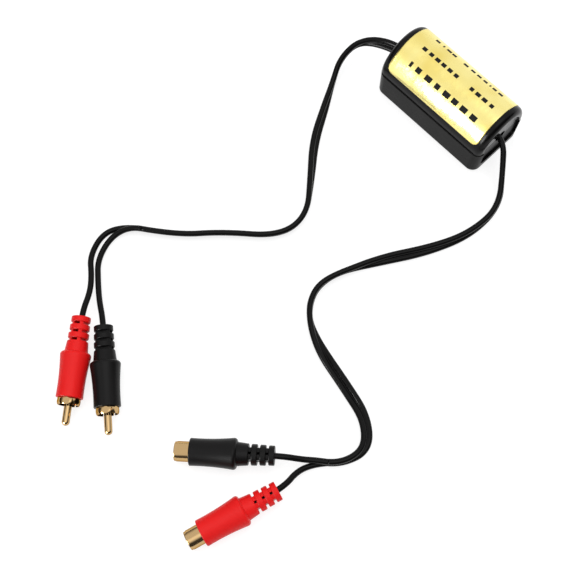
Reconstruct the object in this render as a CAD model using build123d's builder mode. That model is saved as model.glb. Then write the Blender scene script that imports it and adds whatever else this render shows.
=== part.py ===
from build123d import *
import math
import os

# Ground loop isolator with its leads laid out on a table, in millimetres.
# The origin is the middle of the case's flat underside. +X runs along the case towards its output
# end, where the jacks' cord leaves it, and +Z is up.

# Case: two glued shells that meet at the widest height
case_length = 61.4
case_width = 30.0
shell_ledge = 0.5
seam_height = 15.4
case_wall = 1.8
end_wall = 2.0
case_corner = 2.8
tray_corner = 4.4
ledge_round = 0.4
foot_round = 1.4
side_draft = 0.8
cavity_corner = 1.0
recess_depth = 0.8
recess_rim = 3.4
recess_foot = 4.0
recess_corner = 3.0
seam_groove_height = 0.5
seam_groove_depth = 0.35
lip_height = 1.2
lip_wall = 0.8
lip_clearance = 0.1
cord_hole_diameter = 6.0

# Foil label wrapped round the upper shell
label_length = 54.4
label_half_angle = 72.0
label_thickness = 0.12
label_glue = 0.05
label_corner = 3.0

# Circuit board on four heat-staked posts
board_end_clearance = 1.9
board_side_clearance = 2.2
board_thickness = 1.2
board_standoff = 2.0
board_corner = 1.0
post_inset_x = 1.8
post_inset_y = 2.5
post_diameter = 4.4
stake_diameter = 1.8
stake_height = 0.8
stake_clearance = 0.1

# Two laminated transformers side by side, each with a bobbin on its centre leg
transformer_gap = 2.0
transformer_end_clearance = 1.2
core_stack = 8.0
centre_leg = 5.5
side_leg = 3.0
yoke = 2.75
window_height = 13.0
bobbin_wall = 0.7
bobbin_flange = 0.8
bobbin_clearance = 0.1
bobbin_overhang = 4.6
bobbin_side_gap = 0.3
winding_gap = 0.1
winding_spare = 0.85
winding_corner = 1.2
pin_wire_diameter = 0.8
pin_wire_edge = 2.9
pin_wire_count = 3
pin_wire_tail = 0.9
pin_wire_grip = 1.6
pin_hole_clearance = 0.1

# Leads: two round strands side by side in the twin cords, one strand to each connector
strand_diameter = 2.6
strand_pitch = 2.8
cord_web = 0.9
tie_width = 1.8
tie_thickness = 1.0
tie_clearance = 0.05
tie_setback = 0.3
tie_head_width = 3.6
tie_head_height = 2.2
cord_stub = 0.3
hookup_diameter = 0.8
hookup_spread = 1.2
hookup_drop = 0.9

# Moulded boots, the same on plugs and jacks
nose_diameter = 11.4
waist_diameter = 11.5
shoulder_diameter = 13.4
body_length = 19.5
nose_round = 0.4
shoulder_round = 1.4
neck_front_diameter = 9.9
neck_rear_diameter = 8.9
neck_length = 4.75
rib_count = 3
rib_length = 2.45
rib_gap = 1.1
rib_round = 0.4
rib_step = 0.3
web_width = 5.0
plug_window = 2.5
jack_window = 1.1
bore_clearance = 0.1
mouth_flare = 0.4

# Plug: slotted ring, insulating disc and centre pin
ring_reach = 3.0
ring_wall = 0.4
ring_seat = 6.0
ring_slots = 6
ring_slot_width = 0.9
ring_slot_root = 0.3
ring_slot_length = 2.4
ring_bulge = 0.25
petal_flat = 0.2
ring_turn_in = 0.1
pin_diameter = 3.2
pin_reach = 8.4
pin_hole_diameter = 0.7
pin_hole_depth = 0.8
disc_thickness = 2.5
seat_clearance = 0.05

# Jack: barrel, insulator and the spring contact that takes a plug's pin
barrel_diameter = 8.3
barrel_wall = 0.6
barrel_reach = 6.2
barrel_seat = 8.0
barrel_collar = 0.25
barrel_edge = 0.3
barrel_rim_length = 1.0
barrel_rim_step = 0.2
insulator_setback = 0.6
insulator_face = 1.0
insulator_entry_clearance = 0.35
contact_clearance = 0.05
contact_wall = 0.7
contact_length = 9.0
contact_slot_width = 0.5
contact_slot_length = 5.0

# The lead's straight end inside the boot, stripped where it is soldered to a pin or contact
tail_diameter = 2.4
tail_end = 12.0
core_wire_diameter = 1.2
strip_length = 4.0
jacket_end = 27.5

# Where each connector's nose lies on the table, the heading from nose to lead in degrees, and how
# far the web between the boot's ribs is rolled from upright
connector_places = {
    "red_plug": ((-14.5, -214.9), 131.0, -13.0),
    "black_plug": ((-0.5, -206.0), 141.8, 78.0),
    "red_jack": ((64.3, -212.1), 74.8, 0.0),
    "black_jack": ((36.9, -193.6), 42.9, 0.0),
}

os.makedirs("parts", exist_ok=True)

case_radius = case_width / 2
cavity_radius = case_radius - case_wall
cavity_length = case_length - 2 * (recess_depth + end_wall)
cavity_half = cavity_length / 2
recess_radius = case_radius - recess_rim
board_length = cavity_length - 2 * board_end_clearance
board_width = 2 * (cavity_radius - board_side_clearance)
post_spacing_x = board_length - 2 * post_inset_x
post_spacing_y = board_width - 2 * post_inset_y
board_bottom = case_wall + board_standoff
board_top = board_bottom + board_thickness
cord_end_room = tie_setback + tie_width + cord_stub + hookup_drop + hookup_diameter / 2
core_width = cavity_half - cord_end_room - transformer_end_clearance - transformer_gap / 2
transformer_pitch = core_width + transformer_gap
window_width = (core_width - centre_leg) / 2 - side_leg
window_bottom = board_top + yoke
winding_room = window_width - bobbin_clearance - bobbin_wall - winding_spare
winding_build = winding_room / 2 - winding_gap
bobbin_half_width = centre_leg / 2 + window_width - bobbin_clearance
pin_wire_pitch = bobbin_half_width - pin_wire_edge
strand_radius = strand_diameter / 2
boot_length = body_length + neck_length + rib_count * (rib_gap + rib_length)
strip_end = tail_end + strip_length


def finish(piece, name):
    """Names a piece and writes its file."""
    piece.part.label = name
    export_step(piece.part, "parts/" + name + ".step")


# Upper shell: half a turn of its end profile about the seam's middle line
seam_axis = Axis((0, 0, seam_height), (1, 0, 0))
lip_run_out = lip_height + lip_clearance
with BuildPart() as upper_shell:
    with BuildSketch(Plane.XY.offset(seam_height)) as shell_profile:
        with Locations((0, case_radius / 2)):
            Rectangle(case_length, case_radius)
        fillet(shell_profile.vertices().group_by(Axis.Y)[-1], radius=case_corner)
        recess_x = (case_length - recess_depth) / 2
        with Locations((recess_x, recess_radius / 2), (-recess_x, recess_radius / 2)):
            Rectangle(recess_depth, recess_radius, mode=Mode.SUBTRACT)
        with BuildSketch(mode=Mode.SUBTRACT) as hollow:
            with Locations((0, cavity_radius / 2)):
                Rectangle(cavity_length, cavity_radius)
            fillet(hollow.vertices().group_by(Axis.Y)[-1], radius=cavity_corner)
    revolve(axis=seam_axis, revolution_arc=180)
    with BuildSketch(Plane.XY.offset(seam_height)):
        rebate = 2 * (lip_wall + lip_clearance)
        RectangleRounded(cavity_length + rebate, 2 * cavity_radius + rebate, cavity_corner + rebate / 2)
    extrude(amount=lip_run_out, mode=Mode.SUBTRACT)
    with BuildSketch(Plane.YZ):
        with Locations((0, seam_height)):
            Circle(cord_hole_diameter / 2)
    extrude(amount=case_length, both=True, mode=Mode.SUBTRACT)
finish(upper_shell, "upper_shell")

# Lower shell: a drafted tray that stands out past the upper shell as a round-edged ledge, with a
# groove below the seam, a lip inside it and four board posts
with BuildPart() as lower_shell:
    with BuildSketch(Plane.XY.offset(seam_height - seam_groove_height)):
        RectangleRounded(case_length + 2 * shell_ledge, case_width + 2 * shell_ledge, tray_corner)
    extrude(amount=-(seam_height - seam_groove_height), taper=side_draft)
    fillet(lower_shell.faces().sort_by(Axis.Z)[0].edges(), radius=foot_round)
    fillet(lower_shell.faces().sort_by(Axis.Z)[-1].edges(), radius=ledge_round)
    with BuildSketch(Plane.XY.offset(seam_height - seam_groove_height)):
        inset = 2 * seam_groove_depth
        RectangleRounded(case_length - inset, case_width - inset, case_corner - seam_groove_depth)
    extrude(amount=seam_groove_height)
    with BuildSketch(Plane.XY.offset(seam_height)):
        lip_outline = 2 * lip_wall
        RectangleRounded(cavity_length + lip_outline, 2 * cavity_radius + lip_outline, cavity_corner + lip_wall)
    extrude(amount=lip_height)
    for end in (-1, 1):
        recess_plane = Plane(
            origin=(end * (case_length / 2 - recess_depth), 0, 0), x_dir=(0, end, 0), z_dir=(end, 0, 0)
        )
        recess_height = seam_height - recess_foot
        with BuildSketch(recess_plane) as recess:
            with Locations((0, recess_foot + recess_height / 2)):
                Rectangle(2 * recess_radius, recess_height)
            fillet(recess.vertices().group_by(Axis.Y)[0], radius=recess_corner)
        extrude(amount=2 * (recess_depth + shell_ledge), mode=Mode.SUBTRACT)
    with BuildSketch(Plane.XY.offset(seam_height + lip_height)):
        RectangleRounded(cavity_length, 2 * cavity_radius, cavity_corner)
    extrude(amount=-lip_height, mode=Mode.SUBTRACT)
    with BuildSketch(Plane.XY.offset(seam_height)):
        RectangleRounded(cavity_length, 2 * cavity_radius, cavity_corner)
    extrude(amount=-(seam_height - case_wall), taper=side_draft, mode=Mode.SUBTRACT)
    with BuildSketch(Plane.XY.offset(case_wall)):
        with GridLocations(post_spacing_x, post_spacing_y, 2, 2):
            Circle(post_diameter / 2)
    extrude(amount=board_standoff)
    with BuildSketch(Plane.XY.offset(board_bottom)):
        with GridLocations(post_spacing_x, post_spacing_y, 2, 2):
            Circle(stake_diameter / 2)
    extrude(amount=board_thickness + stake_height)
    with BuildSketch(Plane.YZ):
        with Locations((0, seam_height)):
            Circle(cord_hole_diameter / 2)
    extrude(amount=case_length, both=True, mode=Mode.SUBTRACT)
finish(lower_shell, "lower_shell")

# Label: a band of foil on the upper shell, its lower corners rounded
with BuildPart() as label:
    with BuildSketch(Plane.YZ.offset(-label_length / 2)) as band:
        with Locations((0, seam_height)):
            Circle(case_radius + label_glue + label_thickness)
            Circle(case_radius + label_glue, mode=Mode.SUBTRACT)
    extrude(amount=label_length)
    label_foot = seam_height + case_radius * math.cos(math.radians(label_half_angle))
    label_window = 2 * case_radius
    with BuildSketch(Plane.XZ) as window:
        with Locations((0, label_foot + label_window / 2)):
            Rectangle(label_length, label_window)
        fillet(window.vertices().group_by(Axis.Y)[0], radius=label_corner)
    extrude(amount=case_width, both=True, mode=Mode.INTERSECT)
finish(label, "label")

# Circuit board with holes for the stakes and for the transformers' pins
foot_inner = core_stack / 2 + bobbin_side_gap
bobbin_reach = core_stack / 2 + bobbin_overhang
pin_row = foot_inner + bobbin_reach
pin_hole_radius = (pin_wire_diameter + pin_hole_clearance) / 2
with BuildPart() as circuit_board:
    with BuildSketch(Plane.XY.offset(board_bottom)):
        RectangleRounded(board_length, board_width, board_corner)
        with GridLocations(post_spacing_x, post_spacing_y, 2, 2):
            Circle(stake_diameter / 2 + stake_clearance, mode=Mode.SUBTRACT)
        with GridLocations(transformer_pitch, 0, 2, 1):
            with GridLocations(pin_wire_pitch, pin_row, pin_wire_count, 2):
                Circle(pin_hole_radius, mode=Mode.SUBTRACT)
    extrude(amount=board_thickness)
finish(circuit_board, "circuit_board")


def square_ring(inner_x, inner_y, outer_x, outer_y, corner):
    """A rectangle with a rectangular hole, both given as half widths."""
    if corner:
        RectangleRounded(2 * outer_x, 2 * outer_y, corner)
    else:
        Rectangle(2 * outer_x, 2 * outer_y)
    Rectangle(2 * inner_x, 2 * inner_y, mode=Mode.SUBTRACT)


def make_transformer(side, centre):
    """Core, bobbin, two windings and pins of one transformer."""
    middle = window_bottom + window_height / 2
    with BuildPart() as core:
        with BuildSketch(Plane.XZ):
            with Locations((centre, middle)):
                Rectangle(core_width, window_height + 2 * yoke)
                with Locations(
                    (-(centre_leg + window_width) / 2, 0), ((centre_leg + window_width) / 2, 0)
                ):
                    Rectangle(window_width, window_height, mode=Mode.SUBTRACT)
        extrude(amount=core_stack / 2, both=True)
    finish(core, side + "_transformer_core")

    tube_inner = (centre_leg / 2 + bobbin_clearance, core_stack / 2 + bobbin_clearance)
    tube_outer = (tube_inner[0] + bobbin_wall, tube_inner[1] + bobbin_wall)
    flange = (bobbin_half_width, bobbin_reach)
    bobbin_bottom = window_bottom + bobbin_clearance
    bobbin_height = window_height - 2 * bobbin_clearance
    with BuildPart() as bobbin:
        with BuildSketch(Plane.XY.offset(bobbin_bottom)):
            with Locations((centre, 0)):
                square_ring(*tube_inner, *tube_outer, 0)
        extrude(amount=bobbin_height)
        for height in (bobbin_bottom, bobbin_bottom + bobbin_height - bobbin_flange):
            with BuildSketch(Plane.XY.offset(height)):
                with Locations((centre, 0)):
                    square_ring(*tube_inner, *flange, 0)
            extrude(amount=bobbin_flange)
        with BuildSketch(Plane.XY.offset(board_top)):
            foot_depth = bobbin_reach - foot_inner
            with Locations((centre, 0)):
                with GridLocations(0, foot_inner + bobbin_reach, 1, 2):
                    Rectangle(2 * flange[0], foot_depth)
        extrude(amount=bobbin_bottom - board_top)
        with BuildSketch(Plane.XY.offset(board_top)):
            with Locations((centre, 0)):
                with GridLocations(pin_wire_pitch, pin_row, pin_wire_count, 2):
                    Circle(pin_hole_radius)
        extrude(amount=pin_wire_grip, mode=Mode.SUBTRACT)
    finish(bobbin, side + "_transformer_bobbin")

    winding_bottom = bobbin_bottom + bobbin_flange + winding_gap
    winding_height = bobbin_height - 2 * (bobbin_flange + winding_gap)
    inner = (tube_outer[0] + winding_gap, tube_outer[1] + winding_gap)
    for name in ("primary_winding", "secondary_winding"):
        outer = (inner[0] + winding_build, inner[1] + winding_build)
        with BuildPart() as winding:
            with BuildSketch(Plane.XY.offset(winding_bottom)):
                with Locations((centre, 0)):
                    RectangleRounded(2 * outer[0], 2 * outer[1], winding_corner)
                    Rectangle(2 * inner[0], 2 * inner[1], mode=Mode.SUBTRACT)
            extrude(amount=winding_height)
        finish(winding, side + "_transformer_" + name)
        inner = (outer[0] + winding_gap, outer[1] + winding_gap)

    with BuildPart() as pins:
        with BuildSketch(Plane.XY.offset(board_bottom - pin_wire_tail)):
            with Locations((centre, 0)):
                with GridLocations(pin_wire_pitch, pin_row, pin_wire_count, 2):
                    Circle(pin_wire_diameter / 2)
        extrude(amount=pin_wire_tail + board_thickness + pin_wire_grip)
    finish(pins, side + "_transformer_pins")


make_transformer("left", -transformer_pitch / 2)
make_transformer("right", transformer_pitch / 2)

# Leads: where the twin cords end inside the case
cavity_reach = cavity_half - tie_setback
cord_inner_end = cavity_reach - tie_width - cord_stub
hookup_x = cord_inner_end - hookup_drop


# A boot lies on its nose and its shoulder, so its axis rises a little towards the lead
nose_centre = (nose_round, nose_diameter / 2 - nose_round)
shoulder_centre = (body_length - shoulder_round, shoulder_diameter / 2 - shoulder_round)
rise = shoulder_centre[1] - nose_centre[1]
span = shoulder_centre[0] - nose_centre[0]
boot_tilt = math.atan2(rise, span) + math.asin((shoulder_round - nose_round) / math.hypot(rise, span))
nose_height = nose_round + nose_centre[1] * math.cos(boot_tilt) - nose_centre[0] * math.sin(boot_tilt)


def connector_frame(name):
    """Plane square to a connector's axis at its nose: Z runs to the lead, X is level and Y is up."""
    (nose_x, nose_y), heading, _ = connector_places[name]
    turn = math.radians(heading)
    level = math.cos(boot_tilt)
    along = Vector(level * math.cos(turn), level * math.sin(turn), math.sin(boot_tilt))
    across = Vector(-math.sin(turn), math.cos(turn), 0)
    return Plane(origin=(nose_x, nose_y, nose_height), x_dir=across, z_dir=along)


def profile_plane(frame):
    """Plane through a connector's axis: X is the distance behind the nose and Y the radius."""
    return Plane(origin=frame.origin, x_dir=frame.z_dir, z_dir=frame.x_dir * -1)


def cross_plane(frame, behind, roll):
    """Plane square to a connector's axis, some way behind the nose and rolled about the axis."""
    turn = math.radians(roll)
    tilted = frame.x_dir * math.cos(turn) + frame.y_dir * math.sin(turn)
    return Plane(origin=frame.origin + frame.z_dir * behind, x_dir=tilted, z_dir=frame.z_dir)


def span_box(start, end, radius, mode=Mode.ADD):
    """Rectangle from the axis out to a radius, between two distances behind the nose."""
    with Locations(((start + end) / 2, radius / 2)):
        Rectangle(end - start, radius, mode=mode)


def make_boot(name, frame, seat_radius, seat_depth, window):
    """Boot: waisted body, neck and ribs turned as one profile, with webs between the ribs."""
    roll = connector_places[name][2]
    neck_end = body_length + neck_length
    bore_radius = strand_radius + bore_clearance
    with BuildPart() as boot:
        with BuildSketch(profile_plane(frame)) as turned:
            with BuildLine():
                Line((0, 0), (0, nose_diameter / 2))
                ThreePointArc(
                    (0, nose_diameter / 2),
                    (body_length / 2, waist_diameter / 2),
                    (body_length, shoulder_diameter / 2),
                )
                Polyline(
                    (body_length, shoulder_diameter / 2),
                    (body_length, neck_front_diameter / 2),
                    (neck_end, neck_rear_diameter / 2),
                    (neck_end, 0),
                    (0, 0),
                )
            make_face()
            rim = turned.vertices().sort_by(Axis.Y)
            fillet(rim[-1], radius=shoulder_round)
            nose_edge = turned.vertices().group_by(Axis.X)[0].sort_by(Axis.Y)[-1]
            fillet(nose_edge, radius=nose_round)
            neck_edge = turned.vertices().group_by(Axis.X)[-1].sort_by(Axis.Y)[-1]
            fillet(neck_edge, radius=rib_round)
            for rib in range(rib_count):
                start = neck_end + rib_gap + rib * (rib_gap + rib_length)
                radius = (neck_rear_diameter - rib_step * (rib + 0.5)) / 2
                with BuildSketch() as ring:
                    span_box(start, start + rib_length, radius)
                    fillet(ring.vertices().group_by(Axis.Y)[-1], radius=rib_round)
            span_box(0, seat_depth, seat_radius, Mode.SUBTRACT)
            span_box(0, tail_end, tail_diameter / 2 + seat_clearance, Mode.SUBTRACT)
            span_box(0, strip_end, core_wire_diameter / 2 + seat_clearance, Mode.SUBTRACT)
            span_box(strip_end, boot_length, bore_radius, Mode.SUBTRACT)
            with BuildLine():
                Polyline(
                    (boot_length - rib_length, bore_radius),
                    (boot_length, bore_radius + mouth_flare),
                    (boot_length, 0),
                    (boot_length - rib_length, 0),
                    close=True,
                )
            make_face(mode=Mode.SUBTRACT)
        revolve(axis=Axis(frame.origin, frame.z_dir))
        for gap in range(rib_count):
            start = neck_end + gap * (rib_gap + rib_length)
            reach = (neck_rear_diameter - rib_step * (gap + 1)) / 2 - rib_round
            with BuildSketch(cross_plane(frame, start, roll)):
                Circle(reach)
                Rectangle(web_width, 2 * reach, mode=Mode.INTERSECT)
                Rectangle(window, 2 * reach, mode=Mode.SUBTRACT)
                Circle(bore_radius, mode=Mode.SUBTRACT)
            extrude(amount=rib_gap)
    finish(boot, name + "_boot")


def make_plug(name):
    """Plug: boot, ring of bulged petals with flat backs, insulating disc and centre pin."""
    frame = connector_frame(name)
    axis = Axis(frame.origin, frame.z_dir)
    ring_inner = barrel_diameter / 2 + seat_clearance
    ring_outer = ring_inner + ring_wall
    make_boot(name, frame, ring_outer + seat_clearance, ring_seat, plug_window)

    with BuildPart() as ring:
        with BuildSketch(profile_plane(frame)):
            with BuildLine():
                ThreePointArc(
                    (-ring_reach, ring_outer - ring_turn_in),
                    (-ring_reach / 2, ring_outer + ring_bulge),
                    (0, ring_outer),
                )
                Polyline((0, ring_outer), (ring_seat, ring_outer), (ring_seat, ring_inner), (0, ring_inner))
                ThreePointArc(
                    (0, ring_inner),
                    (-ring_reach / 2, ring_inner + ring_bulge),
                    (-ring_reach, ring_inner - ring_turn_in),
                )
                Line((-ring_reach, ring_inner - ring_turn_in), (-ring_reach, ring_outer - ring_turn_in))
            make_face()
        revolve(axis=axis)
        with BuildSketch(cross_plane(frame, -ring_reach, 0)):
            Circle(ring_outer + 2 * ring_bulge)
            RegularPolygon(
                ring_outer + ring_bulge - petal_flat, ring_slots, major_radius=False, mode=Mode.SUBTRACT
            )
        extrude(amount=ring_reach, mode=Mode.SUBTRACT)
        slot_taper = math.atan2((ring_slot_width - ring_slot_root) / 2, ring_slot_length)
        with BuildSketch(cross_plane(frame, -ring_reach, 0)):
            with PolarLocations(ring_outer, ring_slots):
                Rectangle(2 * (ring_wall + ring_slot_width), ring_slot_width)
        extrude(amount=ring_slot_length, taper=math.degrees(slot_taper), mode=Mode.SUBTRACT)
    finish(ring, name + "_ring")

    disc_front = ring_seat - disc_thickness
    pin_radius = pin_diameter / 2
    with BuildPart() as disc:
        with BuildSketch(cross_plane(frame, disc_front, 0)):
            Circle(ring_inner - seat_clearance)
            Circle(tail_diameter / 2 + seat_clearance, mode=Mode.SUBTRACT)
        extrude(amount=disc_thickness)
    finish(disc, name + "_insulator")

    tip = -(ring_reach + pin_reach)
    with BuildPart() as pin:
        with BuildSketch(profile_plane(frame)):
            with BuildLine():
                Line((tip, 0), (tip, pin_hole_diameter / 2))
                hole_edge = pin_radius - math.sqrt(pin_radius**2 - (pin_hole_diameter / 2) ** 2)
                ThreePointArc(
                    (tip, pin_hole_diameter / 2),
                    (
                        tip - hole_edge + pin_radius * (1 - math.cos(math.radians(50))),
                        pin_radius * math.sin(math.radians(50)),
                    ),
                    (tip - hole_edge + pin_radius, pin_radius),
                )
                Polyline(
                    (tip - hole_edge + pin_radius, pin_radius),
                    (disc_front, pin_radius),
                    (disc_front, tail_diameter / 2),
                    (tail_end, tail_diameter / 2),
                    (tail_end, 0),
                    (tip, 0),
                )
            make_face()
            span_box(tip, tip + pin_hole_depth, pin_hole_diameter / 2, Mode.SUBTRACT)
        revolve(axis=axis)
    finish(pin, name + "_pin")


def make_jack(name):
    """Jack: boot, barrel, insulator and the slotted contact in its middle."""
    frame = connector_frame(name)
    axis = Axis(frame.origin, frame.z_dir)
    barrel_radius = barrel_diameter / 2
    collar_radius = barrel_radius + barrel_collar
    make_boot(name, frame, collar_radius + seat_clearance, barrel_seat, jack_window)

    bore = barrel_radius - barrel_wall
    rim_radius = barrel_radius - barrel_rim_step
    rim_end = -barrel_reach + barrel_rim_length
    with BuildPart() as barrel:
        with BuildSketch(profile_plane(frame)) as section:
            with BuildLine():
                Polyline(
                    (-barrel_reach, bore),
                    (-barrel_reach, rim_radius),
                    (rim_end, rim_radius),
                    (rim_end, barrel_radius),
                    (0, barrel_radius),
                    (0, collar_radius),
                    (barrel_seat, collar_radius),
                    (barrel_seat, bore),
                    close=True,
                )
            make_face()
            fillet(section.vertices().group_by(Axis.X)[0].sort_by(Axis.Y)[-1], radius=barrel_edge)
        revolve(axis=axis)
    finish(barrel, name + "_barrel")

    contact_inner = pin_diameter / 2 + contact_clearance
    contact_outer = contact_inner + contact_wall
    insulator_front = -barrel_reach + insulator_setback
    contact_front = insulator_front + insulator_face
    with BuildPart() as insulator:
        with BuildSketch(profile_plane(frame)):
            span_box(insulator_front, barrel_seat, bore - seat_clearance)
            span_box(insulator_front, barrel_seat, contact_inner + insulator_entry_clearance, Mode.SUBTRACT)
            span_box(contact_front, barrel_seat, contact_outer + seat_clearance, Mode.SUBTRACT)
        revolve(axis=axis)
    finish(insulator, name + "_insulator")

    contact_rear = contact_front + contact_length
    with BuildPart() as contact:
        with BuildSketch(profile_plane(frame)):
            span_box(contact_front, barrel_seat, contact_outer)
            span_box(barrel_seat, tail_end, tail_diameter / 2)
            span_box(contact_front, contact_rear, contact_inner, Mode.SUBTRACT)
        revolve(axis=axis)
        with BuildSketch(cross_plane(frame, contact_front, 0)):
            Rectangle(contact_slot_width, 3 * contact_outer)
        extrude(amount=contact_slot_length, mode=Mode.SUBTRACT)
    finish(contact, name + "_contact")


for plug_name in ("red_plug", "black_plug"):
    make_plug(plug_name)
for jack_name in ("red_jack", "black_jack"):
    make_jack(jack_name)

# Inside each boot the lead's end is straight, and its bare conductor meets the pin's or contact's tail
for connector_name in connector_places:
    connector = connector_frame(connector_name)
    with BuildPart() as core_wire:
        with BuildSketch(cross_plane(connector, tail_end, 0)):
            Circle(core_wire_diameter / 2)
        extrude(amount=strip_length)
        with BuildSketch(cross_plane(connector, strip_end, 0)):
            Circle(strand_radius)
        extrude(amount=jacket_end - strip_end)
    finish(core_wire, connector_name + "_core_wire")

# Cords: straight runs joined by arcs as large as the runs allow
floor_lay = strand_radius + 0.05
arc_share = 0.45
twin_points = {
    "input_twin_cord": [
        (-cord_inner_end, 0, seam_height),
        (-34.8, 0, seam_height),
        (-49.3, -7.9, 13.0),
        (-51.0, -19.5, 8.0),
        (-45.8, -29.7, 2.8),
        (-40.4, -39.1, 1.6),
        (-30.8, -56.2, floor_lay),
        (-18.3, -70.2, floor_lay),
        (-6.2, -85.0, floor_lay),
        (-7.9, -100.5, floor_lay),
        (-26.8, -117.1, floor_lay),
        (-39.8, -132.8, floor_lay),
        (-52.8, -142.1, floor_lay),
    ],
    "output_twin_cord": [
        (cord_inner_end, 0, seam_height),
        (32.4, 0, seam_height),
        (40.8, -8.4, 9.4),
        (51.0, -20.1, 3.0),
        (50.5, -38.6, 1.6),
        (43.1, -56.9, floor_lay),
        (30.3, -77.7, floor_lay),
        (19.6, -100.7, floor_lay),
        (24.9, -115.2, floor_lay),
        (39.5, -123.4, floor_lay),
        (62.3, -127.7, floor_lay),
        (76.7, -131.1, floor_lay),
        (86.1, -139.6, floor_lay),
        (83.4, -151.2, floor_lay),
        (78.9, -155.3, floor_lay),
    ],
}

# Each lead starts beside its neighbour, on the end of the twin cord and straight on from it, and
# ends in its boot. The sign says on which side of the twin's heading it starts, and the length is
# that of its first run.
lead_clearance = 2.5
lead_points = {
    "red_plug": (
        "input_twin_cord",
        -1,
        7.0,
        [(-63.4, -155.5, floor_lay), (-58.9, -167.2, 1.9), (-50.5, -173.0, 3.4), (-44.4, -178.6, 5.2)],
    ),
    "black_plug": (
        "input_twin_cord",
        1,
        5.5,
        [(-59.4, -155.0, floor_lay), (-55.0, -166.0, 1.9), (-46.5, -172.6, 3.7), (-38.5, -178.2, 5.7)],
    ),
    "red_jack": ("output_twin_cord", 1, 5.2, [(72.7, -167.1, 3.2)]),
    "black_jack": ("output_twin_cord", -1, 4.6, [(71.2, -162.2, 3.5)]),
}


def arc_radii(points):
    """The arc at each corner: its share of the shorter run, over the tangent of half the turn."""
    corners = [Vector(*point) for point in points]
    runs = [after - before for before, after in zip(corners, corners[1:])]
    radii = []
    for before, after in zip(runs, runs[1:]):
        half_turn = math.radians(before.get_angle(after)) / 2
        radii.append(arc_share * min(before.length, after.length) / math.tan(half_turn))
    return radii


def strand_start(twin, sign, first_run):
    """Where one strand of a twin cord goes on by itself: its first point and its next one."""
    before, last = (Vector(*point) for point in twin_points[twin][-2:])
    heading = (last - before).normalized()
    beside = Vector(-heading.Y, heading.X, 0) * (sign * strand_pitch / 2)
    return [tuple(last + beside), tuple(last + beside + heading * first_run)]


def make_cord(name, points, strands):
    """Sweeps the cord's section, one strand or two joined by a web, back from its last point."""
    radii = arc_radii(points)
    with BuildPart() as cord:
        with BuildLine() as path:
            FilletPolyline(*reversed(points), radius=radii[::-1])
        route = path.wire()
        start = route % 0
        level = Vector(-start.Y, start.X, 0).normalized()
        with BuildSketch(Plane(origin=route @ 0, x_dir=level, z_dir=start)) as section:
            with GridLocations(strand_pitch, 0, strands, 1):
                Circle(strand_radius)
            if strands == 2:
                Rectangle(strand_pitch, cord_web)
        area = section.sketch.area
        sweep(path=route)
    print(name, "length", round(route.length, 1), "radii", [round(radius, 1) for radius in radii])
    print("  volume", round(cord.part.volume, 1), "section by length", round(area * route.length, 1))
    finish(cord, name)
    return cord.part


def make_cord_end(side, end, cord):
    """The tie that grips a twin cord inside the case, and the wires from it to the board."""
    inner_centre = Vector(end * cord_inner_end, 0, seam_height)
    end_face = cord.faces().filter_by(GeomType.PLANE).sort_by_distance(inner_centre)[0]
    strand_centre = end_face.edges().filter_by(GeomType.CIRCLE)[0].arc_center
    inner_end = Plane(origin=inner_centre, x_dir=strand_centre - inner_centre, z_dir=(end, 0, 0))
    with BuildPart() as cable_tie:
        grip = tie_clearance + tie_thickness
        with BuildSketch(inner_end.offset(cord_stub)):
            SlotOverall(twin_width + 2 * grip, strand_diameter + 2 * grip)
            with Locations((0, strand_radius + grip + tie_head_height / 2)):
                Rectangle(tie_head_width, tie_head_height + tie_thickness)
            SlotOverall(
                twin_width + 2 * tie_clearance, strand_diameter + 2 * tie_clearance, mode=Mode.SUBTRACT
            )
        extrude(amount=tie_width)
    finish(cable_tie, side + "_cable_tie")

    with BuildPart() as hookup_wires:
        for strand in (-1, 1):
            for half in (-1, 1):
                leaves = inner_end.from_local_coords(
                    Vector((strand * strand_pitch + half * hookup_spread) / 2, 0, 0)
                )
                with BuildLine() as run:
                    FilletPolyline(
                        leaves,
                        (end * hookup_x, leaves.Y, leaves.Z),
                        (end * hookup_x, leaves.Y, board_top),
                        radius=hookup_drop * 0.9,
                    )
                with BuildSketch(Plane(origin=leaves, z_dir=(-end, 0, 0))):
                    Circle(hookup_diameter / 2)
                sweep(path=run.line)
    finish(hookup_wires, side + "_hookup_wires")


twin_width = strand_pitch + strand_diameter
for (cord_name, cord_points), (case_end, end_sign) in zip(
    twin_points.items(), (("input", -1), ("output", 1))
):
    twin_cord = make_cord(cord_name, cord_points, 2)
    make_cord_end(case_end, end_sign, twin_cord)

for connector_name, (twin, sign, first_run, middle_points) in lead_points.items():
    connector = connector_frame(connector_name)
    outside = connector.origin + connector.z_dir * (boot_length + lead_clearance)
    inside = connector.origin + connector.z_dir * jacket_end
    lead = [*strand_start(twin, sign, first_run), *middle_points, tuple(outside), tuple(inside)]
    make_cord(connector_name + "_lead", lead, 1)
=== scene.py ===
import bpy
import math
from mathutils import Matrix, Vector, noise


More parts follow.
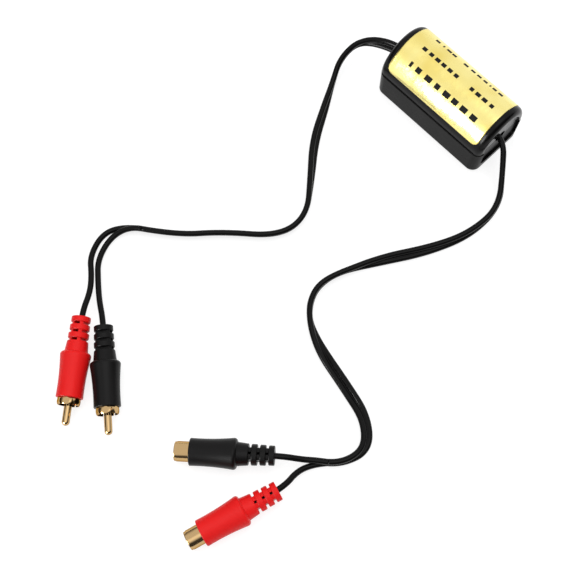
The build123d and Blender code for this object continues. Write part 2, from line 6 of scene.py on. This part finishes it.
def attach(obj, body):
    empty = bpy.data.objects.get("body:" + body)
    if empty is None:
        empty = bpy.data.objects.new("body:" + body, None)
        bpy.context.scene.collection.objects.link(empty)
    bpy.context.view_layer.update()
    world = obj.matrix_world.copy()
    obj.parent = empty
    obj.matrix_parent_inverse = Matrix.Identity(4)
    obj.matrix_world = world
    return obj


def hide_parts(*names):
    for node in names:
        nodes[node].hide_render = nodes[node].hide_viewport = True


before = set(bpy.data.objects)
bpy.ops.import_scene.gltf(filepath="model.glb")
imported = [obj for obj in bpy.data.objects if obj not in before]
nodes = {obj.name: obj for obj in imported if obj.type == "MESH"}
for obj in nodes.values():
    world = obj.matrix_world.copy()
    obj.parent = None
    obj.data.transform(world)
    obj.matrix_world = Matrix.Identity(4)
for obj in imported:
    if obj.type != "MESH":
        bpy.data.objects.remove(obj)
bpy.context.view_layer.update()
scene = bpy.context.scene
scene.view_settings.view_transform = "Standard"
MM = 0.001

# Camera, in metres, where the photograph was taken from
eye = Vector((0.113183, -0.211270, 0.405350))
aim = Vector((0.012219, -0.114183, 0.0))
camera_data = bpy.data.cameras.new("camera")
camera_data.sensor_width = 36.0
camera_data.lens = 61.07
camera_data.clip_start = 0.01
camera = bpy.data.objects.new("camera", camera_data)
scene.collection.objects.link(camera)
camera.location = eye
camera.rotation_euler = (aim - eye).to_track_quat("-Z", "Y").to_euler()
scene.camera = camera

# Cords, in millimetres, with each connector's nose and the heading of its axis in degrees
seam_height = 15.4
strand_diameter = 2.6
strand_pitch = 2.8
cord_web = 0.9
table_gap = 0.05
route_steps = 24
strand_steps = 16
lead_steps = 20
boot_length = 34.9
lead_clearance = 2.5
jacket_end = 27.5
connector_places = {
    "red_plug": ((-14.5, -214.9), 131.0),
    "black_plug": ((-0.5, -206.0), 141.8),
    "red_jack": ((64.3, -212.1), 74.8),
    "black_jack": ((36.9, -193.6), 42.9),
}
# A boot lies on its tapered side, so its axis rises from the nose towards the lead
nose_height = 5.6689
axis_rise = math.radians(3.2388)


def connector_axis(name):
    """A connector's nose and its axis from nose to lead."""
    (x, y), heading = connector_places[name]
    turn = math.radians(heading)
    flat = math.cos(axis_rise)
    axis = Vector((flat * math.cos(turn), flat * math.sin(turn), math.sin(axis_rise)))
    return Vector((x, y, nose_height)), axis


# Where a twin stands on edge, its points are raised along the camera's lines of sight
twin_points = {
    "input_twin": [
        (-25.5, 0.0, seam_height),
        (-34.8, 0.0, seam_height),
        (-49.3, -7.9, 13.0),
        (-51.0, -19.5, 8.0),
        (-45.8, -29.7, 2.8),
        (-40.0, -39.6, 2.7),
        (-30.4, -56.6, 2.5),
        (-17.9, -70.7, 2.7),
        (-5.8, -85.4, 2.7),
        (-7.5, -100.9, 2.7),
        (-26.3, -117.4, 2.7),
        (-39.3, -133.1, 2.7),
        (-52.3, -142.3, 2.7),
    ],
    "output_twin": [
        (25.5, 0.0, seam_height),
        (32.4, 0.0, seam_height),
        (40.8, -8.4, 9.4),
        (51.0, -20.1, 3.0),
        (50.7, -39.1, 2.7),
        (43.3, -57.3, 2.5),
        (30.6, -78.1, 2.6),
        (19.9, -101.1, 2.7),
        (25.2, -115.5, 2.7),
        (39.7, -123.6, 2.2),
        (62.3, -127.8, 1.6),
        (76.8, -131.2, 1.9),
        (86.2, -139.8, 2.4),
        (83.5, -151.4, 2.7),
        (79.0, -155.5, 2.7),
    ],
}
# How far the twin is rolled from flat, in degrees, at distances from its start in millimetres
twin_rolls = {
    "input_twin": [
        (0, -43), (10, -46), (15, -60), (20, -82), (25, -103), (30, -108), (40, -98), (50, -91),
        (60, -71), (70, -59), (80, -55), (90, -61), (100, -75), (110, -91), (120, -103), (130, -108),
        (145, -111), (194, -111),
    ],
    "output_twin": [
        (0, -62), (10, -74), (20, -79), (30, -78), (40, -88), (50, -81), (60, -73), (70, -61),
        (80, -47), (85, -43), (90, -46), (100, -70), (110, -100), (117, -105), (125, -95), (135, -88),
        (142, -85), (150, -55), (160, -11), (165, 4), (172, 10), (180, 9), (190, -22), (200, -34),
        (210, -75), (216, -86), (222, -89),
    ],
}
lead_points = {
    "red_plug": [
        (-52.6, -141.9, 1.35),
        (-58.2, -146.1, 1.35),
        (-63.4, -155.5, 1.35),
        (-58.9, -167.2, 1.9),
        (-50.5, -173.0, 3.4),
        (-44.4, -178.6, 5.2),
    ],
    "black_plug": [
        (-52.0, -142.7, 4.0),
        (-56.4, -145.8, 3.8),
        (-59.4, -155.0, 1.5),
        (-55.0, -166.0, 1.9),
        (-46.5, -172.6, 3.7),
        (-38.5, -178.2, 5.7),
    ],
    "red_jack": [(79.0, -155.5, 1.35), (75.6, -159.6, 1.5), (72.7, -167.1, 3.2)],
    "black_jack": [(79.0, -155.5, 4.1), (75.0, -158.6, 4.0), (71.2, -162.2, 4.2)],
}


def route_line(name, points):
    """The smooth line through a route's control points, read from a NURBS curve that is then removed."""
    curve = bpy.data.curves.new(name + "_route", "CURVE")
    curve.dimensions = "3D"
    spline = curve.splines.new("NURBS")
    spline.points.add(len(points) - 1)
    for target, (x, y, z) in zip(spline.points, points):
        target.co = (x * MM, y * MM, z * MM, 1.0)
    spline.order_u = 3
    spline.use_endpoint_u = True
    spline.resolution_u = route_steps
    route = bpy.data.objects.new(name + "_route", curve)
    scene.collection.objects.link(route)
    bpy.context.view_layer.update()
    mesh = bpy.data.meshes.new_from_object(route)
    line = [vertex.co.copy() for vertex in mesh.vertices]
    bpy.data.meshes.remove(mesh)
    bpy.data.objects.remove(route)
    bpy.data.curves.remove(curve)
    return line


def distances(line):
    """How far along the line each of its points lies."""
    run = [0.0]
    for before, after in zip(line, line[1:]):
        run.append(run[-1] + (after - before).length)
    return run


def between(stops, place):
    """The value at a place, on a smooth line through stops of (place, value)."""
    last = len(stops) - 1
    if place <= stops[0][0]:
        return stops[0][1]
    if place >= stops[last][0]:
        return stops[last][1]

    def slope(index):
        before, after = stops[max(index - 1, 0)], stops[min(index + 1, last)]
        return (after[1] - before[1]) / (after[0] - before[0])

    index = max(k for k in range(last) if stops[k][0] <= place)
    (start, low), (end, high) = stops[index], stops[index + 1]
    span = end - start
    part = (place - start) / span
    square, cube = part**2, part**3
    by_value = low * (2 * cube - 3 * square + 1) + high * (3 * square - 2 * cube)
    by_slope = slope(index) * (cube - 2 * square + part) + slope(index + 1) * (cube - square)
    return by_value + by_slope * span


def add_piece(name, verts, faces):
    """A mesh object that rides on the part's one body, with its four-sided faces smooth."""
    mesh = bpy.data.meshes.new(name)
    mesh.from_pydata([tuple(v) for v in verts], [], faces)
    mesh.update()
    for polygon in mesh.polygons:
        polygon.use_smooth = len(polygon.vertices) == 4
    piece = bpy.data.objects.new(name, mesh)
    scene.collection.objects.link(piece)
    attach(piece, "root")
    return piece


def twin_outline():
    """Section of two round strands joined by a web."""
    radius = strand_diameter / 2
    reach = math.pi - math.asin(cord_web / 2 / radius)
    outline = []
    for middle in (0, math.pi):
        centre = strand_pitch / 2 * math.cos(middle)
        for k in range(strand_steps + 1):
            angle = middle + reach * (2 * k / strand_steps - 1)
            outline.append((centre + radius * math.cos(angle), radius * math.sin(angle)))
    return outline


def lead_outline():
    """Section of a single lead."""
    radius = strand_diameter / 2
    angles = [2 * math.pi * k / lead_steps for k in range(lead_steps)]
    return [(radius * math.cos(angle), radius * math.sin(angle)) for angle in angles]


def sweep(name, node, line, outline, rolls=None):
    """A cord: its section swept along the line. A twin is also rolled as it lies, clear of the table."""
    run = distances(line)
    count = len(outline)
    last = len(line) - 1
    verts = []
    for index, point in enumerate(line):
        along = (line[min(index + 1, last)] - line[max(index - 1, 0)]).normalized()
        side = Vector((-along.y, along.x, 0)).normalized()
        up = along.cross(side)
        centre = point.copy()
        roll = 0.0
        if rolls is not None:
            roll = math.radians(between(rolls, run[index] / MM))
            reach = (strand_diameter + strand_pitch * abs(math.sin(roll))) / 2 + table_gap
            centre.z = max(centre.z, reach * MM)
        for x, y in outline:
            across = x * math.cos(roll) - y * math.sin(roll)
            rise = x * math.sin(roll) + y * math.cos(roll)
            verts.append(centre + side * (across * MM) + up * (rise * MM))
    faces = []
    for start in range(0, last * count, count):
        for k in range(count):
            after = (k + 1) % count
            faces.append((start + k, start + after, start + after + count, start + k + count))
    faces.append(tuple(range(count - 1, -1, -1)))
    faces.append(tuple(last * count + k for k in range(count)))
    piece = add_piece(name, verts, faces)
    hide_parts(node)
    return piece


cords = []
for name, end in (("input_twin", -1), ("output_twin", 1)):
    line = route_line(name, twin_points[name])
    piece = sweep(name, name + "_cord", line, twin_outline(), twin_rolls[name])
    cords.append(piece)

for name, points in lead_points.items():
    nose, axis = connector_axis(name)
    outside = nose + axis * (boot_length + lead_clearance)
    inside = nose + axis * jacket_end
    line = route_line(name, [*points, outside, inside])
    piece = sweep(name + "_wire", name + "_lead", line, lead_outline())
    cords.append(piece)


# Foil label, with lengths in millimetres: a thin band with soft wrinkles, and rows of plain printed bars
label_half_length = 27.2
label_half_angle = math.radians(72.0)
label_corner = 3.0
label_outer = 15.115
label_inner = 15.06
label_rows = 120
label_columns = 90
wrinkle_height = 0.042
wrinkles_along = 0.09
wrinkles_round = 0.16
wrinkle_seed = 3.7
print_steps = 8
print_sink = 0.004
print_height = 0.01
# Each row: its lower and upper angle in degrees, and its bars' centres and half widths
print_rows = [
    (-39.6, -29.8, [
        (-18.7, 0.7), (-14.2, 1.4), (-8.3, 1.8), (-2.9, 1.3), (2.6, 1.8), (7.6, 1.6), (12.9, 1.8),
        (18.6, 1.7),
    ]),
    (-3.6, 3.6, [
        (-18.8, 1.2), (-14.8, 1.1), (-11.0, 1.3), (-7.4, 1.2), (-3.7, 1.2), (0.0, 1.1), (9.3, 1.0),
        (13.0, 1.3), (16.8, 1.3), (20.9, 1.0),
    ]),
    (31.5, 38.5, [
        (-18.3, 1.2), (-14.7, 0.4), (-11.5, 1.3), (-8.4, 1.2), (-1.4, 1.3), (2.9, 1.2), (6.5, 1.2),
        (10.2, 1.1), (13.1, 0.4), (15.6, 1.1), (19.1, 1.2),
    ]),
]


def foil_radius(x, phi):
    """The foil's outer radius, with its wrinkles."""
    spot = Vector((x * wrinkles_along, phi * label_outer * wrinkles_round, wrinkle_seed))
    return label_outer + wrinkle_height * noise.noise(spot)


def on_cylinder(x, phi, radius):
    """A point of the case's round top, from millimetres and radians to metres."""
    return Vector((x, radius * math.sin(phi), seam_height + radius * math.cos(phi))) * MM


def grid_rim(rows, columns):
    """The numbers of a grid's outer points, once round."""
    width = columns + 1
    rim = list(range(width))
    rim += [i * width + columns for i in range(1, rows + 1)]
    rim += [rows * width + j for j in range(columns - 1, -1, -1)]
    rim += [i * width for i in range(rows - 1, 0, -1)]
    return rim


def slab_faces(outer, inner, rows, columns):
    """The faces of a closed slab between two grids of points, which start at the numbers given."""
    width = columns + 1
    faces = []
    for i in range(rows):
        for j in range(columns):
            a = i * width + j
            faces.append((outer + a, outer + a + 1, outer + a + 1 + width, outer + a + width))
            faces.append((inner + a, inner + a + width, inner + a + 1 + width, inner + a + 1))
    rim = grid_rim(rows, columns)
    for a, b in zip(rim, rim[1:] + rim[:1]):
        faces.append((outer + a, inner + a, inner + b, outer + b))
    return faces


def make_label():
    """The foil: a wrinkled outer grid and a plain inner one, with rounded corners."""
    verts = []
    for wrinkled in (True, False):
        for i in range(label_rows + 1):
            phi = label_half_angle * (2 * i / label_rows - 1)
            from_edge = (label_half_angle - abs(phi)) * label_outer
            half = label_half_length
            if from_edge < label_corner:
                half += math.sqrt(label_corner**2 - (label_corner - from_edge) ** 2) - label_corner
            for j in range(label_columns + 1):
                x = half * (2 * j / label_columns - 1)
                verts.append(on_cylinder(x, phi, foil_radius(x, phi) if wrinkled else label_inner))
    faces = slab_faces(0, len(verts) // 2, label_rows, label_columns)
    piece = add_piece("foil_label", verts, faces)
    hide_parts("label")
    return piece


def make_print():
    """The printed bars: thin slabs that follow the foil."""
    verts, faces = [], []
    size = (print_steps + 1) ** 2
    for low, high, bars in print_rows:
        for centre, half in bars:
            start = len(verts)
            for lift in (-print_sink, print_height):
                for i in range(print_steps + 1):
                    phi = math.radians(low + (high - low) * i / print_steps)
                    for j in range(print_steps + 1):
                        x = centre + half * (2 * j / print_steps - 1)
                        verts.append(on_cylinder(x, phi, foil_radius(x, phi) + lift))
            faces += slab_faces(start + size, start, print_steps, print_steps)
    piece = add_piece("label_bars", verts, faces)
    return piece


label = make_label()
label_bars = make_print()


# Materials: the noise patterns, and the levels between which roughness and a second colour, which is
# painted reflection, follow them
grain_detail = 3
patch_scale = 60
patch_detail = 2
patch_levels = (0.3, 0.7)
# Levels at which the painted reflection colour comes in
painted_reflection_levels = (0.38, 0.68)
rough_spread = 0.06


def pattern(tree, place, scale, detail):
    """A noise pattern over the surface."""
    texture = tree.nodes.new("ShaderNodeTexNoise")
    texture.inputs["Scale"].default_value = scale
    texture.inputs["Detail"].default_value = detail
    tree.links.new(place, texture.inputs["Vector"])
    return texture.outputs["Fac"]


def level(tree, value, start, end, low=0.0, high=1.0, kind="LINEAR"):
    """A value that goes from low to high while another goes from start to end."""
    mapped = tree.nodes.new("ShaderNodeMapRange")
    mapped.interpolation_type = kind
    mapped.inputs["From Min"].default_value = start
    mapped.inputs["From Max"].default_value = end
    mapped.inputs["To Min"].default_value = low
    mapped.inputs["To Max"].default_value = high
    tree.links.new(value, mapped.inputs["Value"])
    return mapped.outputs["Result"]


def finish_of(
    name, colour, rough, metallic=0.0, specular=0.5, grain=900, depth=0.00002,
    stretch=(1, 1, 1), painted_reflection_colour=None, edge=(1, 1, 1),
):
    """A surface with a fine grain and a roughness that varies from place to place.

    A second colour, a painted reflection that darkens patches as dark surroundings would, is blended in
    by patches, and the edge is the tint that a metal takes at a slant.
    """
    material = bpy.data.materials.new(name)
    material.use_nodes = True
    tree = material.node_tree
    link = tree.links.new
    shader = tree.nodes["Principled BSDF"]
    shader.inputs["Base Color"].default_value = (*colour, 1)
    shader.inputs["Metallic"].default_value = metallic
    shader.inputs["Specular IOR Level"].default_value = specular
    shader.inputs["Specular Tint"].default_value = (*edge, 1)
    coordinates = tree.nodes.new("ShaderNodeTexCoord")
    mapping = tree.nodes.new("ShaderNodeMapping")
    mapping.inputs["Scale"].default_value = stretch
    link(coordinates.outputs["Object"], mapping.inputs["Vector"])
    place = mapping.outputs["Vector"]
    bump = tree.nodes.new("ShaderNodeBump")
    bump.inputs["Strength"].default_value = 1.0
    bump.inputs["Distance"].default_value = depth
    link(pattern(tree, place, grain, grain_detail), bump.inputs["Height"])
    link(bump.outputs["Normal"], shader.inputs["Normal"])
    patches = pattern(tree, place, patch_scale, patch_detail)
    varied = level(tree, patches, *patch_levels, low=rough - rough_spread, high=rough + rough_spread)
    link(varied, shader.inputs["Roughness"])
    # The second colour is painted reflection: its darker patches stand in for the shade that wrinkles
    # catch
    if painted_reflection_colour is not None:
        blend = tree.nodes.new("ShaderNodeMix")
        blend.data_type = "RGBA"
        blend.inputs["A"].default_value = (*colour, 1)
        blend.inputs["B"].default_value = (*painted_reflection_colour, 1)
        link(level(tree, patches, *painted_reflection_levels), blend.inputs["Factor"])
        link(blend.outputs["Result"], shader.inputs["Base Color"])
    return material


gloss_black = finish_of("gloss_black", (0.0028, 0.0026, 0.0026), rough=0.22, specular=0.14, grain=500)
satin_black = finish_of("satin_black", (0.0035, 0.0033, 0.0032), rough=0.3, specular=0.06, grain=700)
cord_black = finish_of("cord_black", (0.003, 0.0028, 0.0028), rough=0.22, specular=0.12, grain=1500)
boot_black = finish_of("boot_black", (0.005, 0.0047, 0.0048), rough=0.36, specular=0.13, grain=1800)
boot_red = finish_of("boot_red", (0.70, 0.008, 0.008), rough=0.4, specular=0.17, grain=1800)
gold_plate = finish_of(
    "gold_plate", (0.54, 0.365, 0.175), rough=0.12, metallic=1.0, depth=0.00001, edge=(0.5, 0.32, 0.16),
)
# The foil's second, darker olive colour is a painted reflection of dark surroundings in its wrinkles
foil = finish_of(
    "foil", (0.97, 0.85, 0.33), rough=0.27, metallic=1.0, grain=75, depth=0.0005,
    painted_reflection_colour=(0.86, 0.68, 0.17),
)
ink = finish_of("ink", (0.01, 0.01, 0.01), rough=0.5, specular=0.1)
inner_black = finish_of("inner_black", (0.008, 0.008, 0.008), rough=0.6, specular=0.1)
board = finish_of("board", (0.36, 0.21, 0.09), rough=0.6)
laminations = finish_of(
    "laminations", (0.2, 0.2, 0.21), rough=0.45, metallic=0.8, grain=2500, stretch=(0.02, 1, 0.02),
)
bobbin_plastic = finish_of("bobbin_plastic", (0.75, 0.74, 0.7), rough=0.5)
copper = finish_of(
    "copper", (0.65, 0.28, 0.12), rough=0.35, metallic=1.0, grain=2500, stretch=(0.05, 0.05, 1),
)
tinned = finish_of("tinned", (0.7, 0.7, 0.7), rough=0.3, metallic=1.0)
tie_nylon = finish_of("tie_nylon", (0.8, 0.8, 0.78), rough=0.5)
wire_sleeve = finish_of("wire_sleeve", (0.55, 0.05, 0.05), rough=0.45)

# The material of each CAD node, by the end of its name
material_of = {
    "upper_shell": gloss_black,
    "lower_shell": satin_black,
    "label": foil,
    "circuit_board": board,
    "_core": laminations,
    "_bobbin": bobbin_plastic,
    "_winding": copper,
    "_pins": tinned,
    "_cable_tie": tie_nylon,
    "_hookup_wires": wire_sleeve,
    "_core_wire": cord_black,
    "_cord": cord_black,
    "_lead": cord_black,
    "_insulator": inner_black,
    "_ring": gold_plate,
    "_pin": gold_plate,
    "_barrel": gold_plate,
    "_contact": gold_plate,
    "red_plug_boot": boot_red,
    "red_jack_boot": boot_red,
    "black_plug_boot": boot_black,
    "black_jack_boot": boot_black,
}
for name, node in nodes.items():
    material = next(material for ending, material in material_of.items() if name.endswith(ending))
    node.data.materials.clear()
    node.data.materials.append(material)
for piece in cords:
    piece.data.materials.append(cord_black)
label.data.materials.append(foil)
label_bars.data.materials.append(ink)


# Surroundings: how bright each part is, and where it lies and fades
soft_light = 0.6
backdrop_light = 1.0
panel_light = 1.8
dark_light = 0.06
panel_direction = (0.22, 0.1, 0.97)
panel_fade = (0.90, 0.97)
right_direction = (0.93, -0.1, -0.35)
right_fade = (0.1, 0.42)
left_direction = (-0.8, -0.55, -0.3)
left_fade = (0.45, 0.75)


def mix(tree, factor, plain, chosen):
    """A mix of two shaders: all of the plain one at a factor of 0, and all of the chosen one at 1."""
    blend = tree.nodes.new("ShaderNodeMixShader")
    for socket, source in zip(blend.inputs, (factor, plain, chosen)):
        tree.links.new(source, socket)
    return blend.outputs[0]


def white(tree, kind, strength):
    """A white shader that shines with the given strength."""
    node = tree.nodes.new(kind)
    node.inputs["Color"].default_value = (1, 1, 1, 1)
    node.inputs["Strength"].default_value = strength
    return node.outputs[0]


def larger(tree, one, other):
    """The larger one of two values."""
    node = tree.nodes.new("ShaderNodeMath")
    node.operation = "MAXIMUM"
    tree.links.new(one, node.inputs[0])
    tree.links.new(other, node.inputs[1])
    return node.outputs["Value"]


def shown(tree, rays):
    """1 for the rays that show the backdrop: from the camera, off a mirror and through glass."""
    seen = larger(tree, rays.outputs["Is Camera Ray"], rays.outputs["Is Glossy Ray"])
    return larger(tree, seen, rays.outputs["Is Transmission Ray"])


def toward(tree, direction, fade):
    """1 where the surroundings lie towards a direction and 0 elsewhere, with a soft edge."""
    place = tree.nodes.new("ShaderNodeTexCoord")
    along = tree.nodes.new("ShaderNodeVectorMath")
    along.operation = "DOT_PRODUCT"
    along.inputs[1].default_value = direction
    tree.links.new(place.outputs["Generated"], along.inputs[0])
    return level(tree, along.outputs["Value"], *fade, kind="SMOOTHSTEP")


def make_world():
    """A white backdrop with a soft light, where metal also sees an overhead panel and two dark sides."""
    world = bpy.data.worlds.new("studio")
    world.use_nodes = True
    tree = world.node_tree
    tree.nodes.clear()
    rays = tree.nodes.new("ShaderNodeLightPath")
    out = tree.nodes.new("ShaderNodeOutputWorld")
    soft = white(tree, "ShaderNodeBackground", soft_light)
    backdrop = white(tree, "ShaderNodeBackground", backdrop_light)
    panel = white(tree, "ShaderNodeBackground", panel_light)
    dark = white(tree, "ShaderNodeBackground", dark_light)
    room = mix(tree, toward(tree, panel_direction, panel_fade), backdrop, panel)
    room = mix(tree, toward(tree, right_direction, right_fade), room, dark)
    room = mix(tree, toward(tree, left_direction, left_fade), room, dark)
    room = mix(tree, rays.outputs["Is Camera Ray"], room, backdrop)
    tree.links.new(mix(tree, shown(tree, rays), soft, room), out.inputs["Surface"])
    return world


scene.world = make_world()


# Table: pale paper that gives light back to the part, and that the camera sees almost white
table_reach = 2.0
paper_grey = 0.8
faint_grey = 0.3
table_glow = 0.78


def matt(tree, grey):
    """A matt grey shader."""
    node = tree.nodes.new("ShaderNodeBsdfDiffuse")
    node.inputs["Color"].default_value = (grey, grey, grey, 1)
    return node.outputs[0]


def make_table():
    """The table's top, one large square."""
    corners = [(-1, -1), (1, -1), (1, 1), (-1, 1)]
    mesh = bpy.data.meshes.new("table")
    mesh.from_pydata([(x * table_reach, y * table_reach, 0) for x, y in corners], [], [(0, 1, 2, 3)])
    table = bpy.data.objects.new("table", mesh)
    scene.collection.objects.link(table)
    material = bpy.data.materials.new("table")
    material.use_nodes = True
    tree = material.node_tree
    tree.nodes.clear()
    rays = tree.nodes.new("ShaderNodeLightPath")
    out = tree.nodes.new("ShaderNodeOutputMaterial")
    both = tree.nodes.new("ShaderNodeAddShader")
    tree.links.new(matt(tree, faint_grey), both.inputs[0])
    tree.links.new(white(tree, "ShaderNodeEmission", table_glow), both.inputs[1])
    surface = mix(tree, shown(tree, rays), matt(tree, paper_grey), both.outputs[0])
    tree.links.new(surface, out.inputs["Surface"])
    table.data.materials.append(material)


make_table()


# Lamps: the overhead one gives the shadows, and the front one only the highlights
def lamp(name, place, target, size, power):
    """A soft rectangular lamp that faces its target."""
    data = bpy.data.lights.new(name, "AREA")
    data.shape = "RECTANGLE"
    data.size, data.size_y = size
    data.energy = power
    light = bpy.data.objects.new(name, data)
    light.location = place
    light.rotation_euler = (Vector(target) - Vector(place)).to_track_quat("-Z", "Y").to_euler()
    scene.collection.objects.link(light)
    return light


overhead = lamp("overhead", place=(-0.1, 0.0, 1.1), target=(0, -0.1, 0), size=(1.2, 1.0), power=9.5)
overhead.visible_glossy = False
front = lamp("front", place=(-0.01, -1.1, 0.34), target=(0, 0, 0.02), size=(0.44, 0.64), power=15)
front.visible_diffuse = False
